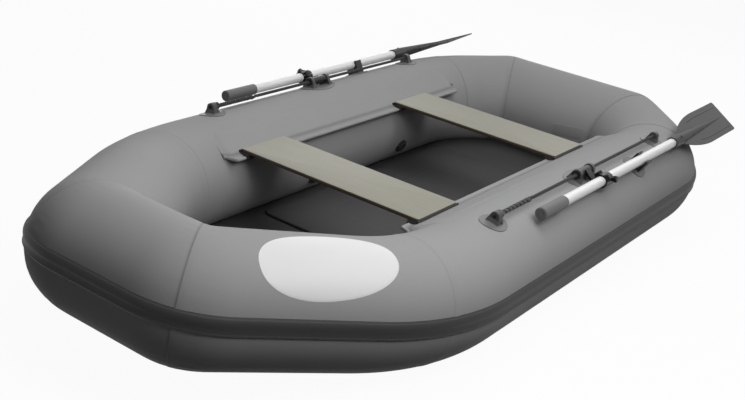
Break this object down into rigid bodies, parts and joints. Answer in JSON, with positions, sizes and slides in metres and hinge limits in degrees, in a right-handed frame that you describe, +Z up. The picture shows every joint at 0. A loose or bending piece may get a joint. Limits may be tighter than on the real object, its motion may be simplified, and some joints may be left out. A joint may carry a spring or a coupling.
{
  "type": "inflatable rowing boat",
  "caption": "Inflatable rowing boat of welded tube panels with a rub rail, sliding plank seats, a floor mat, lifelines and stowed oars on swivelling oarlocks.",
  "frame": {"origin": "centre of the boat's outline on the floor it stands on, under the middle of the tube ring", "axes": "+X to the bow, +Y to port, +Z up"},
  "size_m": [2.7887, 1.292, 0.41],
  "materials": {
    "hull_fabric": "satin coated fabric",
    "rub_rail": "satin",
    "floor_fabric": "coated fabric",
    "floor_mat": "coated fabric",
    "rail_strip": "satin coated fabric",
    "rubber_fittings": "satin moulded",
    "axle": "satin",
    "rubber_black": "satin",
    "rope": "braided",
    "valve_plastic": "satin",
    "plywood": "lacquered",
    "seat_profile": "satin",
    "black_plastic": "satin",
    "pin_metal": "satin",
    "white_shaft": "satin",
    "grip_rubber": "satin",
    "blade_plastic": "satin"
  },
  "bodies": {
    "hull": {"tube_side_port": "hull_fabric", "tube_bow_port": "hull_fabric", "tube_bow": "hull_fabric", "tube_bow_starboard": "hull_fabric", "tube_side_starboard": "hull_fabric", "tube_stern_starboard": "hull_fabric", "tube_stern": "hull_fabric", "tube_stern_port": "hull_fabric", "rub_rail": "rub_rail", "floor_sheet": "floor_fabric", "floor_mat": "floor_mat", "seat_rail_port": "rail_strip", "seat_rail_starboard": "rail_strip", "oarlock_base_port": "rubber_fittings", "oarlock_base_starboard": "rubber_fittings", "oarlock_axle_port": "axle", "oarlock_axle_starboard": "axle", "oar_holder_port": "rubber_black", "oar_holder_starboard": "rubber_black", "lifeline_port": "rope", "lifeline_starboard": "rope", "lifeline_lug_bow_port": "rubber_fittings", "lifeline_lug_bow_starboard": "rubber_fittings", "lifeline_lug_stern_port": "rubber_fittings", "lifeline_lug_stern_starboard": "rubber_fittings", "valve_bow": "valve_plastic", "valve_stern": "valve_plastic"},
    "bow_seat": {"bow_seat_plank": "plywood", "bow_seat_shoes": "seat_profile"},
    "stern_seat": {"stern_seat_plank": "plywood", "stern_seat_shoes": "seat_profile"},
    "swivel_port": {"swivel_arm_port": "black_plastic", "swivel_pin_port": "pin_metal"},
    "oar_port": {"oar_clamp_port": "black_plastic", "clamp_knob_port": "black_plastic", "oar_shaft_port": "white_shaft", "oar_grip_port": "grip_rubber", "oar_blade_port": "blade_plastic"},
    "swivel_starboard": {"swivel_arm_starboard": "black_plastic", "swivel_pin_starboard": "pin_metal"},
    "oar_starboard": {"oar_clamp_starboard": "black_plastic", "clamp_knob_starboard": "black_plastic", "oar_shaft_starboard": "white_shaft", "oar_grip_starboard": "grip_rubber", "oar_blade_starboard": "blade_plastic"}
  },
  "joints": [
    {"name": "bow_seat_slide", "type": "slide", "parent": "hull", "child": "bow_seat", "axis": [1, 0, 0], "range_m": [-0.25, 0.03]},
    {"name": "stern_seat_slide", "type": "slide", "parent": "hull", "child": "stern_seat", "axis": [1, 0, 0], "range_m": [-0.19, 0.25]},
    {"name": "oar_lift_port", "type": "hinge", "parent": "hull", "child": "swivel_port", "pos_m": [-0.195, 0.50333, 0.3569], "axis": [1, 0, 0], "range_deg": [0, 48], "deforming": ["oar_holder_port"]},
    {"name": "oar_sweep_port", "type": "hinge", "parent": "swivel_port", "child": "oar_port", "pos_m": [-0.195, 0.56777, 0.35001], "axis": [0, -0.6691, -0.7431], "range_deg": [0, 125]},
    {"name": "oar_lift_starboard", "type": "hinge", "parent": "hull", "child": "swivel_starboard", "pos_m": [-0.195, -0.50333, 0.3569], "axis": [-1, 0, 0], "range_deg": [0, 48], "deforming": ["oar_holder_starboard"]},
    {"name": "oar_sweep_starboard", "type": "hinge", "parent": "swivel_starboard", "child": "oar_starboard", "pos_m": [-0.195, -0.56777, 0.35001], "axis": [0, -0.6691, 0.7431], "range_deg": [0, 125]}
  ]
}
